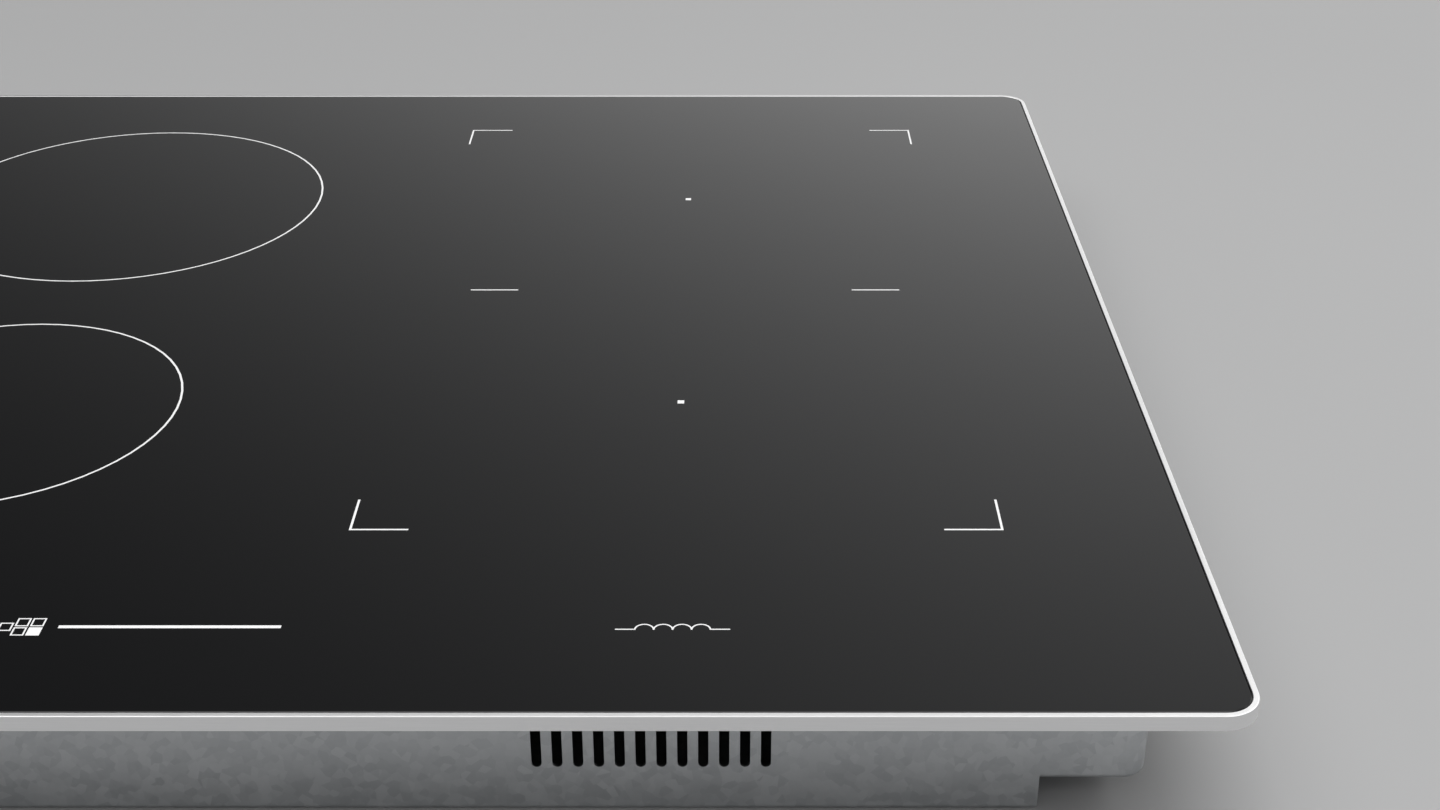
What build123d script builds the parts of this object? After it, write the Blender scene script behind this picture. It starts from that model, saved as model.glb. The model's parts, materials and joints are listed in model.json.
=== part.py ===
from build123d import *
import math
import os

# An electric induction cooktop that drops into a worktop cut-out. All sizes are in millimetres.
# Origin: middle of the footprint, on the bottom of the case. +X is right, +Y is back, +Z is up.

os.makedirs("parts", exist_ok=True)

# ---- Driving dimensions: cooking zones as printed on the glass -----------------------------

large_zone = 270.0  # diameter of the left zone
inner_ring = 210.0  # diameter of the smaller ring inside the left zone
rear_zone = 180.0  # diameter of the rear centre zone
front_zone = 145.0  # diameter of the front centre zone
bridge_width = 220.7  # the zone on the right, side to side
bridge_depth = 384.1  # the zone on the right, front to back
coil_offset = 100.3  # each of its two coils, from the middle of that zone

side_margin = 64.45  # outer zones to the sides of the hob
left_gap = 53.65  # left zone to the centre column
right_gap = 60.75  # centre column to the right zone
rear_margin = 52.9  # right zone to the back edge
front_strip = 103.0  # the nearest zone to the front edge, over the controls
rear_zone_margin = 56.5  # rear centre zone to the back edge
zone_gap = 41.2  # rear centre zone to the front centre zone

# ---- Driving dimensions: glass, trim and seal ----------------------------------------------

case_depth = 50.0  # the case below the worktop
gasket_height = 0.8
trim_wall = 2.0
trim_round = 0.4
trim_inner_chamfer = 0.15
flange_thickness = 0.8  # the trim's shelf that carries the glass
flange_reach = 12.0
corner_radius = 12.0
inner_corner = 4.0
glass_thickness = 4.0
glass_gap = 0.3  # glass to trim
glue_thickness = 0.4
glass_arris = 0.3
glue_inset = 0.5
print_thickness = 0.05  # enamel on top of the glass

# ---- Driving dimensions: case --------------------------------------------------------------

case_inset = 26.0  # case wall inside the glass edge, at the sides and the front
rear_inset = 34.0  # and at the back, which leaves room for the mains connections
sheet = 1.0
case_corner = 8.0
case_bend = 2.0
case_below_seat = 0.3  # top of the case under the support frame
ledge_width = 34.0  # shallow ledges along both sides, which carry the clamps
ledge_height = 12.0
frame_reach = 15.0  # support frame's flat leg inside the glass edge
frame_sheet = 0.8
frame_drop = 16.0
case_screw_drop = 10.5  # case screws below the top of the case
frame_clearance = 0.1
bead_width = 10.0
bead_height = 2.0
front_beads = (59.0, 114.0)  # in from the front wall of the case
rear_bead = 56.0  # in from the back wall
bead_end = 131.0  # in from the side walls
dimple_radius = 5.5
dimple_height = 5.0
vent_width = 3.2
vent_pitch = 6.5
vent_height = 18.0
vent_group = 12
vent_above_ledge = 14.0
vents_from_side = 155.5  # middle of an outer group of vents, in from the side wall
rear_vents = (-40.0, 100.0)  # middles of the other groups in the back wall
grille_slots = 9
grille_margin = 2.0  # slots inside the fan's inlet

# ---- Driving dimensions: coil modules ------------------------------------------------------

module_clearance = 0.2  # heat mat to glass
mat_thickness = 3.8
wire_width = 3.0
wire_height = 4.0
wire_gap = 1.2
former_thickness = 1.5
ferrite_height = 4.0
ferrite_width = 10.0
large_bars = 9  # ferrite bars under the large coil
small_bars = 6  # and under each of the others
base_thickness = 1.5
spring_height = 5.8
spring_radius = 4.5
spring_wire = 1.0
plate_thickness = 1.2
pin_radius = 2.0
pin_hole_radius = 2.5
pin_above_base = 0.5
base_margin = 4.0  # base plate inside its printed zone
rim_margin = 8.0  # winding inside its printed zone
rim_thickness = 2.0
rim_gap = 0.3
hub_radius = 18.0
hub_bore = 14.0
sensor_radius = 7.0
sensor_hole = 8.0
sensor_flange = 1.5
sensor_clearance = 1.0  # sensor's flange to the hub's bore
bridge_corner = 30.0  # corner radius of the plates under the bridge zone
bar_round = 1.0
pin_inset = 14.0  # guide pins in from the edge of a base plate
plate_margin = 3.0  # support plate beyond its printed zones
post_inset = 8.0
post_across_flats = 8.0
post_thread = 8.0
thread_end = 1.0  # left free at the bottom of a thread

# ---- Driving dimensions: electronics and fans ----------------------------------------------

board_width = 204.0
board_depth = 170.0
board_thickness = 1.6
board_corner = 3.0
board_screw_inset = 8.0
tall_margin = 1.0  # capacitors below the fans' and heatsinks' height
capacitor_radius = 11.0
component_round = 1.0
relay_size = (30.0, 14.0, 17.4)
choke_radius = 15.0
choke_hole = 7.0
choke_height = 10.2
filter_size = (56.0, 24.0, 15.4)
film_capacitor_size = (18.0, 28.0, 14.3)
switch_size = (15.0, 5.0, 12.2)
connector_size = (26.0, 8.0, 8.0)
connector_inset = 6.0
fan_side = 88.0
fan_wall = 2.0
fan_cavity_radius = 38.0
fan_inlet_radius = 30.0
fan_to_board = 7.0
fan_headroom = 3.0
fan_corner = 6.0
fan_outlet_low = 2.0  # the outlet's inner side, from the fan's middle
rotor_radius = 36.0
rotor_hub_radius = 13.0
rotor_blades = 24
blade_length = 10.0
blade_thickness = 1.2
shaft_radius = 1.5
shaft_clearance = 0.05
rotor_end_gap = 0.8
rotor_disc = 1.5
rotor_ring = 3.0
rotor_hub_lift = 4.0  # hub above the lower ring
blade_angle = 35.0
heatsink_length = 110.0
heatsink_width = 40.0
heatsink_base = 3.0
heatsink_inset = 4.0
fin_thickness = 1.2
fin_count = 10
touch_margin = 11.0
touch_overhang = 3.0  # touch board beyond the bay, over the left ledge
touch_depth = 32.0
touch_corner = 2.0
carrier_margin = 1.5
carrier_height = 2.4
leg_size = 8.0
leg_round = 1.0
leg_count = 5
leg_inset = 30.0
pad_height = 4.0
pad_diameter = 7.0
pads_per_slider = 6

# ---- Driving dimensions: fastenings, terminals and clamps ----------------------------------

screw_radius = 2.0
screw_clearance = 0.1
screw_head_radius = 3.6
screw_head_height = 2.2
screw_head_round = 0.8
screw_tip_chamfer = 0.4
recess_width = 0.55
recess_depth = 1.2
wall_screw_length = 7.0
board_screw_bite = 2.5  # board screws below the board
nut_height = 3.0
nut_across_flats = 7.0
sleeve_wall = 2.0
clamp_screw_end = 5.0  # clamp screws above the ledge
case_screw_pitch = 230.0
case_screw_count = 4
side_screw_pitch = 300.0
terminal_width = 58.0
terminal_depth = 38.0
terminal_wall = 2.0
terminal_from_right = 101.0  # middle of the terminal box, from the right wall of the case
terminal_from_floor = 6.0
terminal_below_plate = 4.0  # its top below the coil support plates
terminal_flange = 2.0
flange_overlap = 4.0  # flange beyond the box, above and below
flange_lift = 1.0
terminal_rail = 14.0
rail_gap = 7.0  # terminal rail below the roof of the box
terminal_count = 5
terminal_pitch = 10.0
terminal_pit_radius = 3.0
terminal_pit_depth = 2.0
lid_thickness = 2.0
lid_margin = 2.0  # lid beyond the box
lid_gap = 0.8  # flange to lid
lip_width = 20.0
lip_reach = 2.5
lip_height = 2.0
hinge_above_box = 5.0
hinge_radius = 3.2
ear_width = 3.5
ear_gap = 0.4
pin_end_gap = 0.5
hinge_pin = 1.5
hinge_pin_clearance = 0.1
gland_bore = 11.1
gland_wall = 1.9
gland_flange = 15.0
gland_flange_thickness = 4.0
gland_neck_length = 10.0
gland_nut_radius = 14.5
gland_nut_thickness = 5.0
gland_clearance = 1.0  # gland to the support frame's skirt
gland_from_terminal = 68.0
gland_z = 18.0
clamp_thickness = 1.5
clamp_width = 20.0
clamp_reach = 45.0
clamp_rise = 6.0
clamp_step_start = 18.0
clamp_step_end = 27.0
clamp_below_ledge = 1.5
clamp_round = 9.9
clamp_play = 0.1
clamp_pivot_clearance = 0.05
clamp_from_end = 74.0  # clamp pivots in from the front and back walls of the case

# ---- Driving dimensions: wiring ------------------------------------------------------------

lead_radius = 2.5
lead_bend = 14.0
lead_above_board = 4.0
lead_overlap = 2.0  # leads' ends inside the edges of a board
leads_apart = 20.0
lane_to_posts = 12.0
lane_to_board = 18.0

# ---- Driving dimensions: printed controls --------------------------------------------------

line_width = 0.8
corner_mark = 20.0
dash_length = 20.0
dot_size = 2.5
slider_count = 5
slider_pitch = 100.0
slider_length = 69.4
slider_line = 1.5
controls_from_right = 296.9
controls_from_front = 45.9
icon_width = 4.2
icon_height = 4.4
icon_gap = 0.6
icon_line = 0.5
icon_from_slider = 4.8
power_key_inset = 12.0  # power key in from the left end of the touch board
key_pitch = 30.0
power_ring = 4.0
power_opening = 2.4
power_bar = 5.0
key_line = 0.6
shackle_width = 4.4
shackle_height = 7.0
lock_width = 6.4
lock_height = 5.0
emblem_radius = 3.2
emblem_humps = 4

# ---- Worked out: plan ----------------------------------------------------------------------

width = 2 * side_margin + large_zone + left_gap + rear_zone + right_gap + bridge_width
right_column = rear_margin + bridge_depth
centre_column = rear_zone_margin + rear_zone + zone_gap + front_zone
depth = max(right_column, centre_column) + front_strip  # the longer column of zones sets it
right_edge = width / 2
back_edge = depth / 2
large_x = -right_edge + side_margin + large_zone / 2
bridge_x = right_edge - side_margin - bridge_width / 2
bridge_y = back_edge - rear_margin - bridge_depth / 2
centre_x = large_x + large_zone / 2 + left_gap + rear_zone / 2
rear_y = back_edge - rear_zone_margin - rear_zone / 2
front_y = rear_y - rear_zone / 2 - zone_gap - front_zone / 2

case_half = right_edge - case_inset
bay_half = case_half - ledge_width
case_front = -back_edge + case_inset
case_rear = back_edge - rear_inset
case_y = (case_front + case_rear) / 2
case_run = case_rear - case_front

# ---- Worked out: heights -------------------------------------------------------------------

seat_z = case_depth + gasket_height
flange_top = seat_z + flange_thickness
glass_bottom = flange_top + glue_thickness
glass_top = glass_bottom + glass_thickness
trim_height = glass_top - seat_z
case_top = flange_top - frame_sheet - case_below_seat
module_top = glass_bottom - module_clearance
mat_z = module_top - mat_thickness
wire_z = mat_z - wire_height
former_z = wire_z - former_thickness
ferrite_z = former_z - ferrite_height
base_z = ferrite_z - base_thickness
spring_z = base_z - spring_height
plate_z = spring_z - plate_thickness
board_z = dimple_height
board_top = board_z + board_thickness
fan_top = plate_z - fan_headroom

terminal_top = plate_z - terminal_below_plate
terminal_height = terminal_top - terminal_from_floor
terminal_z = terminal_from_floor + terminal_height / 2
terminal_x = case_half - terminal_from_right
gland_x = terminal_x - gland_from_terminal
gland_neck = gland_bore + gland_wall

slider_right = right_edge - controls_from_right
slider_y = -back_edge + controls_from_front


def save(piece, name):
    """Label a finished piece and write it to a STEP file of its own."""
    piece.part.label = name
    export_step(piece.part, f"parts/{name}.step")


# ---- Glass, trim, glue and seal ------------------------------------------------------------


def hob_outline(inset, radius):
    """The hob's rounded outline, drawn this far inside its edge."""
    RectangleRounded(width - 2 * inset, depth - 2 * inset, radius)


def case_outline(inset, radius):
    """The case's rounded outline, drawn this far inside its walls."""
    with Locations((0, case_y)):
        RectangleRounded(2 * (case_half - inset), case_run - 2 * inset, radius)


glass_inset = trim_wall + glass_gap
with BuildPart() as glass_panel:
    with BuildSketch(Plane.XY.offset(glass_bottom)):
        hob_outline(glass_inset, corner_radius - glass_inset)
    extrude(amount=glass_thickness)
    chamfer(glass_panel.faces().sort_by(Axis.Z)[-1].edges(), glass_arris)
save(glass_panel, "glass_panel")

with BuildPart() as edge_trim:
    with BuildSketch(Plane.XY.offset(seat_z)):
        hob_outline(0, corner_radius)
    extrude(amount=trim_height)
    fillet(edge_trim.faces().sort_by(Axis.Z)[-1].edges(), trim_round)
    with BuildSketch(Plane.XY.offset(flange_top)):
        hob_outline(trim_wall, corner_radius - trim_wall)
    extrude(amount=trim_height, mode=Mode.SUBTRACT)
    with BuildSketch(Plane.XY.offset(seat_z)):
        hob_outline(flange_reach, inner_corner)
    extrude(amount=trim_height, mode=Mode.SUBTRACT)
    rim = edge_trim.faces().filter_by(Axis.Z).sort_by(Axis.Z)[-1]
    chamfer(rim.inner_wires()[0].edges(), trim_inner_chamfer)
save(edge_trim, "edge_trim")

with BuildPart() as worktop_gasket:
    with BuildSketch(Plane.XY.offset(case_depth)):
        hob_outline(trim_wall, corner_radius - trim_wall)
        with BuildSketch(mode=Mode.SUBTRACT):
            hob_outline(flange_reach, inner_corner)
    extrude(amount=gasket_height)
save(worktop_gasket, "worktop_gasket")

# The flat leg of the support frame is glued under the glass; its skirt hangs inside the case.
skirt_inset = sheet + frame_clearance
skirt_corner = case_corner - skirt_inset
with BuildPart() as glass_adhesive:
    with BuildSketch(Plane.XY.offset(flange_top)):
        hob_outline(glass_inset + glue_inset, corner_radius - glass_inset - glue_inset)
        with BuildSketch(mode=Mode.SUBTRACT):
            hob_outline(flange_reach - glue_inset, inner_corner)
        hob_outline(frame_reach + glue_inset, inner_corner)
        with BuildSketch(mode=Mode.SUBTRACT):
            case_outline(skirt_inset, skirt_corner)
    extrude(amount=glue_thickness)
save(glass_adhesive, "glass_adhesive")


# ---- Support frame, tray -------------------------------------------------------------------

screw_hole = screw_radius + screw_clearance
case_screw_z = case_top - case_screw_drop
long_wall_screws = [
    ((i - (case_screw_count - 1) / 2) * case_screw_pitch, case_screw_z) for i in range(case_screw_count)
]
side_wall_screws = [(case_y + s * side_screw_pitch / 2, case_screw_z) for s in (-1, 1)]


def cut_wall_screw_holes():
    """Drill the case screws' holes through whatever stands at the four walls."""
    with BuildSketch(Plane.XZ) as long_walls:
        with Locations(*long_wall_screws):
            Circle(screw_hole)
    extrude(long_walls.sketch, amount=depth, both=True, mode=Mode.SUBTRACT)
    with BuildSketch(Plane.YZ) as side_walls:
        with Locations(*side_wall_screws):
            Circle(screw_hole)
    extrude(side_walls.sketch, amount=width, both=True, mode=Mode.SUBTRACT)


with BuildPart() as support_frame:
    with BuildSketch(Plane.XY.offset(flange_top - frame_drop)):
        case_outline(skirt_inset, skirt_corner)
    extrude(amount=frame_drop)
    with BuildSketch(Plane.XY.offset(flange_top - frame_sheet)):
        hob_outline(frame_reach, inner_corner)
    extrude(amount=frame_sheet)
    with BuildSketch(Plane.XY.offset(flange_top - frame_drop)):
        case_outline(skirt_inset + frame_sheet, skirt_corner - frame_sheet)
    extrude(amount=frame_drop, mode=Mode.SUBTRACT)
    cut_wall_screw_holes()
    # The skirt stays clear of the conduit gland, where that reaches up to it.
    with BuildSketch(Plane.XZ.offset(-case_rear)):
        with Locations((gland_x, gland_z)):
            Circle(gland_flange + gland_clearance)
    extrude(amount=gland_neck_length, mode=Mode.SUBTRACT)
save(support_frame, "support_frame")


def case_solid(wall, height):
    """The case as a block, inset by a wall: a deep bay between two shallow side ledges."""
    bend = case_bend - wall
    with BuildPart() as block:
        with BuildSketch(Plane.XY.offset(ledge_height + wall)):
            case_outline(wall, case_corner - wall)
        extrude(amount=height - ledge_height - wall)
        fillet(block.faces().sort_by(Axis.Z)[0].edges(), bend)
        with BuildSketch(Plane.XY.offset(wall)):
            with Locations((0, case_y)):
                Rectangle(2 * (bay_half - wall), case_run - 2 * wall)
        extrude(amount=height - wall)
        fillet(block.faces().sort_by(Axis.Z)[0].edges(), bend)
    return block.part


# Places on the floor of the case that more than one piece shares

fan_y = bridge_y
left_fan_x = large_x - large_zone / 2 + fan_side / 2 + post_inset + post_across_flats
right_fan_x = centre_x + rear_zone / 2 - fan_side / 2 + 2 * plate_margin - post_inset
fan_places = ((left_fan_x, fan_y), (right_fan_x, fan_y))
board_places = [(x + fan_side / 2 + fan_to_board + board_width / 2, y) for x, y in fan_places]
board_screw_places = [
    (x + sx * (board_width / 2 - board_screw_inset), y + sy * (board_depth / 2 - board_screw_inset))
    for x, y in board_places
    for sx in (-1, 1)
    for sy in (-1, 1)
]

# The three support plates: middle, width and depth
column_rear = rear_y + rear_zone / 2
column_front = front_y - front_zone / 2
support_plates = (
    (large_x, bridge_y, large_zone + 2 * plate_margin, large_zone + 2 * plate_margin),
    (
        centre_x,
        (column_rear + column_front) / 2,
        rear_zone + 2 * plate_margin,
        column_rear - column_front + 2 * plate_margin,
    ),
    (bridge_x, bridge_y, bridge_width + 2 * plate_margin, bridge_depth + 2 * plate_margin),
)
post_places = [
    (x + sx * (w / 2 - post_inset), y + sy * (d / 2 - post_inset))
    for x, y, w, d in support_plates
    for sx in (-1, 1)
    for sy in (-1, 1)
]

outer_vents = case_half - vents_from_side
rear_vent_groups = (-outer_vents, *rear_vents)
front_vent_groups = (-outer_vents, 0.0, outer_vents)
vent_z = ledge_height + vent_above_ledge
bead_rows = [case_front + inset for inset in front_beads] + [case_rear - rear_bead]
bead_half_length = case_half - bead_end
clamp_x = case_half - ledge_width / 2
clamp_places = {
    "rear_left_clamp": (-clamp_x, case_rear - clamp_from_end, -90),
    "rear_right_clamp": (clamp_x, case_rear - clamp_from_end, -90),
    "front_left_clamp": (-clamp_x, case_front + clamp_from_end, 90),
    "front_right_clamp": (clamp_x, case_front + clamp_from_end, 90),
}


def cut_vents(groups, wall_y):
    """A group of upright slots through the wall at wall_y, at each place along it."""
    with BuildSketch(Plane.XZ.offset(-wall_y)) as vents:
        for x in groups:
            with Locations((x, vent_z)):
                with GridLocations(vent_pitch, 1, vent_group, 1):
                    SlotOverall(vent_height, vent_width, rotation=90)
    extrude(vents.sketch, amount=2 * sheet, both=True, mode=Mode.SUBTRACT)


with BuildPart() as bottom_tray:
    add(case_solid(0, case_top))
    add(case_solid(sheet, case_top + 1), mode=Mode.SUBTRACT)
    # Stiffening beads and fixing dimples are pressed up into the floor.
    for row in bead_rows:
        with BuildSketch(Plane.XY.offset(sheet)):
            with Locations((0, row)):
                SlotOverall(2 * bead_half_length, bead_width)
        extrude(amount=bead_height)
        with BuildSketch(Plane.XY):
            with Locations((0, row)):
                SlotOverall(2 * (bead_half_length - sheet), bead_width - 2 * sheet)
        extrude(amount=bead_height, mode=Mode.SUBTRACT)
    with BuildSketch(Plane.XY):
        with Locations(*post_places, *board_screw_places):
            Circle(dimple_radius)
    extrude(amount=dimple_height)
    with BuildSketch(Plane.XY):
        with Locations(*post_places, *board_screw_places):
            Circle(dimple_radius - sheet)
    extrude(amount=dimple_height - sheet, mode=Mode.SUBTRACT)
    clamp_points = [(x, y) for x, y, _ in clamp_places.values()]
    with BuildSketch(Plane.XY):
        with Locations(*post_places, *board_screw_places, *clamp_points):
            Circle(screw_hole)
    extrude(amount=ledge_height + 2 * sheet, mode=Mode.SUBTRACT)
    # Air comes in under the fans and leaves through the front and back walls.
    with BuildSketch(Plane.XY):
        for place in fan_places:
            with Locations(place):
                for i in range(grille_slots):
                    aside = (i - (grille_slots - 1) / 2) * vent_pitch
                    chord = 2 * math.sqrt((fan_inlet_radius - grille_margin) ** 2 - aside**2)
                    with Locations((aside, 0)):
                        SlotOverall(chord, vent_width, rotation=90)
    extrude(amount=sheet, mode=Mode.SUBTRACT)
    cut_vents(rear_vent_groups, case_rear)
    cut_vents(front_vent_groups, case_front)
    cut_wall_screw_holes()
    # Openings in the back wall for the terminal box and the conduit
    with BuildSketch(Plane.XZ.offset(-case_rear)):
        with Locations((terminal_x, terminal_z)):
            Rectangle(terminal_width + 2 * frame_clearance, terminal_height + 2 * frame_clearance)
        with Locations((gland_x, gland_z)):
            Circle(gland_neck + screw_clearance)
    extrude(amount=2 * sheet, both=True, mode=Mode.SUBTRACT)
save(bottom_tray, "bottom_tray")


# ---- Coil supports -------------------------------------------------------------------------

# Guide pins stand on the support plates and pass through holes in the sprung base plates.


def round_pins(x, y, zone, first_angle):
    """Three guide pins' places round a circular coil."""
    reach = zone / 2 - base_margin - pin_inset
    angles = [math.radians(first_angle + 120 * i) for i in range(3)]
    return [(x + reach * math.cos(a), y + reach * math.sin(a)) for a in angles]


bridge_base_width = bridge_width - 3 * base_margin
bridge_base_depth = bridge_depth - 3 * base_margin
bridge_pins = [
    (
        bridge_x + sx * (bridge_base_width / 2 - pin_inset),
        bridge_y + row * (bridge_base_depth / 2 - pin_inset),
    )
    for sx in (-1, 1)
    for row in (-1, 0, 1)
]
pins_of = {
    "large_coil": round_pins(large_x, bridge_y, large_zone, 20),
    "rear_coil": round_pins(centre_x, rear_y, rear_zone, 30),
    "front_coil": round_pins(centre_x, front_y, front_zone, 30),
    "bridge_coil": bridge_pins,
}

with BuildPart() as coil_support_plates:
    with BuildSketch(Plane.XY.offset(plate_z)):
        for x, y, w, d in support_plates:
            with Locations((x, y)):
                RectangleRounded(w, d, post_inset)
        with Locations(*post_places):
            Circle(screw_hole, mode=Mode.SUBTRACT)
        # An open window under each coil lets the cooling air reach it.
        with Locations((large_x, bridge_y)):
            Circle(large_zone / 4, mode=Mode.SUBTRACT)
        with Locations((centre_x, rear_y), (centre_x, front_y)):
            Circle(front_zone / 4, mode=Mode.SUBTRACT)
        with Locations((bridge_x, bridge_y - coil_offset), (bridge_x, bridge_y + coil_offset)):
            Circle(bridge_width / 4, mode=Mode.SUBTRACT)
    extrude(amount=plate_thickness)
    for places in pins_of.values():
        with BuildSketch(Plane.XY.offset(plate_z + plate_thickness)):
            with Locations(*places):
                Circle(pin_radius)
        extrude(amount=spring_height + base_thickness + pin_above_base)
save(coil_support_plates, "coil_support_plates")

with BuildPart() as support_posts:
    with BuildSketch(Plane.XY.offset(dimple_height)):
        with Locations(*post_places):
            RegularPolygon(post_across_flats / 2, 6, major_radius=False)
    extrude(amount=plate_z - dimple_height)
    with BuildSketch(Plane.XY.offset(dimple_height)):
        with Locations(*post_places):
            Circle(screw_radius + shaft_clearance)
    extrude(amount=post_thread, mode=Mode.SUBTRACT)
    with BuildSketch(Plane.XY.offset(plate_z - post_thread)):
        with Locations(*post_places):
            Circle(screw_radius + shaft_clearance)
    extrude(amount=post_thread, mode=Mode.SUBTRACT)
save(support_posts, "support_posts")


# ---- Coil modules --------------------------------------------------------------------------


def spiral(inner, outer):
    """A flat winding's outline: half circles about two centres, so that each turn steps outward."""
    step = (wire_width + wire_gap) / 2
    halves = 2 * int((outer - inner - wire_width) / (2 * step))
    end = inner + halves * step

    with BuildLine() as turns:
        for first in (inner, inner + wire_width):
            for i in range(halves):
                centre = (0, 0) if i % 2 == 0 else (step, 0)
                CenterArc(centre, first + i * step, 180 * (i % 2), 180)
        Line((inner, 0), (inner + wire_width, 0))
        Line((end, 0), (end + wire_width, 0))
    make_face(turns.edges())


def spring_solid():
    """One compression spring, standing on the origin."""
    rise = spring_height - spring_wire
    with BuildPart() as spring:
        with BuildLine():
            coil = Helix(rise / 3, rise, spring_radius, center=(0, 0, spring_wire / 2))
        with BuildSketch(Plane(origin=coil @ 0, z_dir=coil % 0)):
            Circle(spring_wire / 2)
        sweep(path=coil, is_frenet=True)
    return spring.part


one_spring = spring_solid()


def coil_module(name, centres, base_outline, winding_radius, bars, pins):
    """Seven pieces that float together under the glass: plate, ferrites, former, coils and so on."""
    with BuildPart() as base_plate:
        with BuildSketch(Plane.XY.offset(base_z)):
            base_outline(0)
            with Locations(*pins):
                Circle(pin_hole_radius, mode=Mode.SUBTRACT)
        extrude(amount=base_thickness)
    save(base_plate, f"{name}_base_plate")

    bar_length = winding_radius - hub_radius - rim_gap
    with BuildPart() as ferrites:
        with BuildSketch(Plane.XY.offset(ferrite_z)):
            for centre in centres:
                with Locations(centre):
                    with PolarLocations(hub_radius + bar_length / 2, bars):
                        RectangleRounded(bar_length, ferrite_width, bar_round)
        extrude(amount=ferrite_height)
    save(ferrites, f"{name}_ferrites")

    with BuildPart() as former:
        with BuildSketch(Plane.XY.offset(former_z)):
            base_outline(base_margin / 2)
        extrude(amount=former_thickness)
        with BuildSketch(Plane.XY.offset(wire_z)):
            for centre in centres:
                with Locations(centre):
                    Circle(winding_radius + rim_gap + rim_thickness)
                    Circle(winding_radius + rim_gap, mode=Mode.SUBTRACT)
                    Circle(hub_radius)
        extrude(amount=wire_height)
        with BuildSketch(Plane.XY.offset(former_z)):
            with Locations(*centres):
                Circle(hub_bore)
        extrude(amount=former_thickness + wire_height, mode=Mode.SUBTRACT)
    save(former, f"{name}_former")

    with BuildPart() as winding:
        for centre in centres:
            with BuildSketch(Plane(origin=(*centre, wire_z))):
                spiral(hub_radius + 2 * rim_gap + wire_width, winding_radius)
            extrude(amount=wire_height)
    save(winding, f"{name}_winding")

    with BuildPart() as heat_mat:
        with BuildSketch(Plane.XY.offset(mat_z)):
            base_outline(base_margin / 2)
            with Locations(*centres):
                Circle(sensor_hole, mode=Mode.SUBTRACT)
        extrude(amount=mat_thickness)
    save(heat_mat, f"{name}_heat_mat")

    with BuildPart() as sensor:
        with BuildSketch(Plane.XY.offset(ferrite_z)):
            with Locations(*centres):
                Circle(hub_bore - sensor_clearance)
        extrude(amount=sensor_flange)
        with BuildSketch(Plane.XY.offset(ferrite_z)):
            with Locations(*centres):
                Circle(sensor_radius)
        extrude(amount=module_top - ferrite_z)
    save(sensor, f"{name}_sensor")

    with BuildPart() as springs:
        with Locations(*[(x, y, spring_z) for x, y in pins]):
            add(one_spring)
    save(springs, f"{name}_springs")


def round_outline(x, y, radius):
    """A function that draws a disc at a coil's middle, this far inside its radius."""

    def draw(inset):
        with Locations((x, y)):
            Circle(radius - inset)

    return draw


def bridge_outline(inset):
    """The rounded rectangle under the bridge zone's two coils."""
    with Locations((bridge_x, bridge_y)):
        plate = (bridge_base_width - 2 * inset, bridge_base_depth - 2 * inset)
        RectangleRounded(*plate, bridge_corner - inset)


for name, x, y, zone, bars in (
    ("large_coil", large_x, bridge_y, large_zone, large_bars),
    ("rear_coil", centre_x, rear_y, rear_zone, small_bars),
    ("front_coil", centre_x, front_y, front_zone, small_bars),
):
    outline = round_outline(x, y, zone / 2 - base_margin)
    coil_module(name, [(x, y)], outline, zone / 2 - rim_margin, bars, pins_of[name])

coil_room = rim_gap + rim_thickness + base_margin / 2
bridge_winding = min(
    bridge_base_width / 2 - coil_room,
    bridge_base_depth / 2 - coil_offset - coil_room,
    coil_offset - coil_room,
)
bridge_centres = [(bridge_x, bridge_y - coil_offset), (bridge_x, bridge_y + coil_offset)]
coil_module("bridge_coil", bridge_centres, bridge_outline, bridge_winding, small_bars, bridge_pins)


# ---- Power electronics and fans, alike on the left and the right ---------------------------


def power_board(name, x, y):
    """A circuit board on four dimples."""
    with BuildPart() as board:
        with BuildSketch(Plane.XY.offset(board_z)):
            with Locations((x, y)):
                RectangleRounded(board_width, board_depth, board_corner)
                with GridLocations(
                    board_width - 2 * board_screw_inset, board_depth - 2 * board_screw_inset, 2, 2
                ):
                    Circle(screw_hole, mode=Mode.SUBTRACT)
        extrude(amount=board_thickness)
    save(board, name)


heatsink_y = fan_y + (fan_outlet_low + fan_cavity_radius) / 2


def heatsink(name, x):
    """An extruded comb in the fan's air stream."""
    fin_pitch = (heatsink_width - fin_thickness) / (fin_count - 1)
    start = x - board_width / 2 + heatsink_inset
    with BuildPart() as comb:
        with BuildSketch(Plane.YZ.offset(start)):
            with Locations((heatsink_y, board_top)):
                Rectangle(heatsink_width, heatsink_base, align=(Align.CENTER, Align.MIN))
                with GridLocations(fin_pitch, 1, fin_count, 1):
                    Rectangle(fin_thickness, fan_top - board_top, align=(Align.CENTER, Align.MIN))
        extrude(amount=heatsink_length)
    save(comb, name)


# Where components stand on a board, as shares of its half width and half depth from its middle
component_room = fan_top - board_top
capacitor_places = ((-0.75, -0.68), (-0.45, -0.68))
relay_places = ((-0.12, -0.7), (-0.12, -0.49))
choke_places = ((0.29, -0.61), (0.65, -0.61))
filter_places = ((0.57, -0.165),)
film_capacitor_places = ((0.47, 0.47), (0.68, 0.47), (0.88, 0.47))
switch_places = ((-0.84, -0.28), (-0.65, -0.28), (-0.45, -0.28), (-0.25, -0.28))


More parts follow.
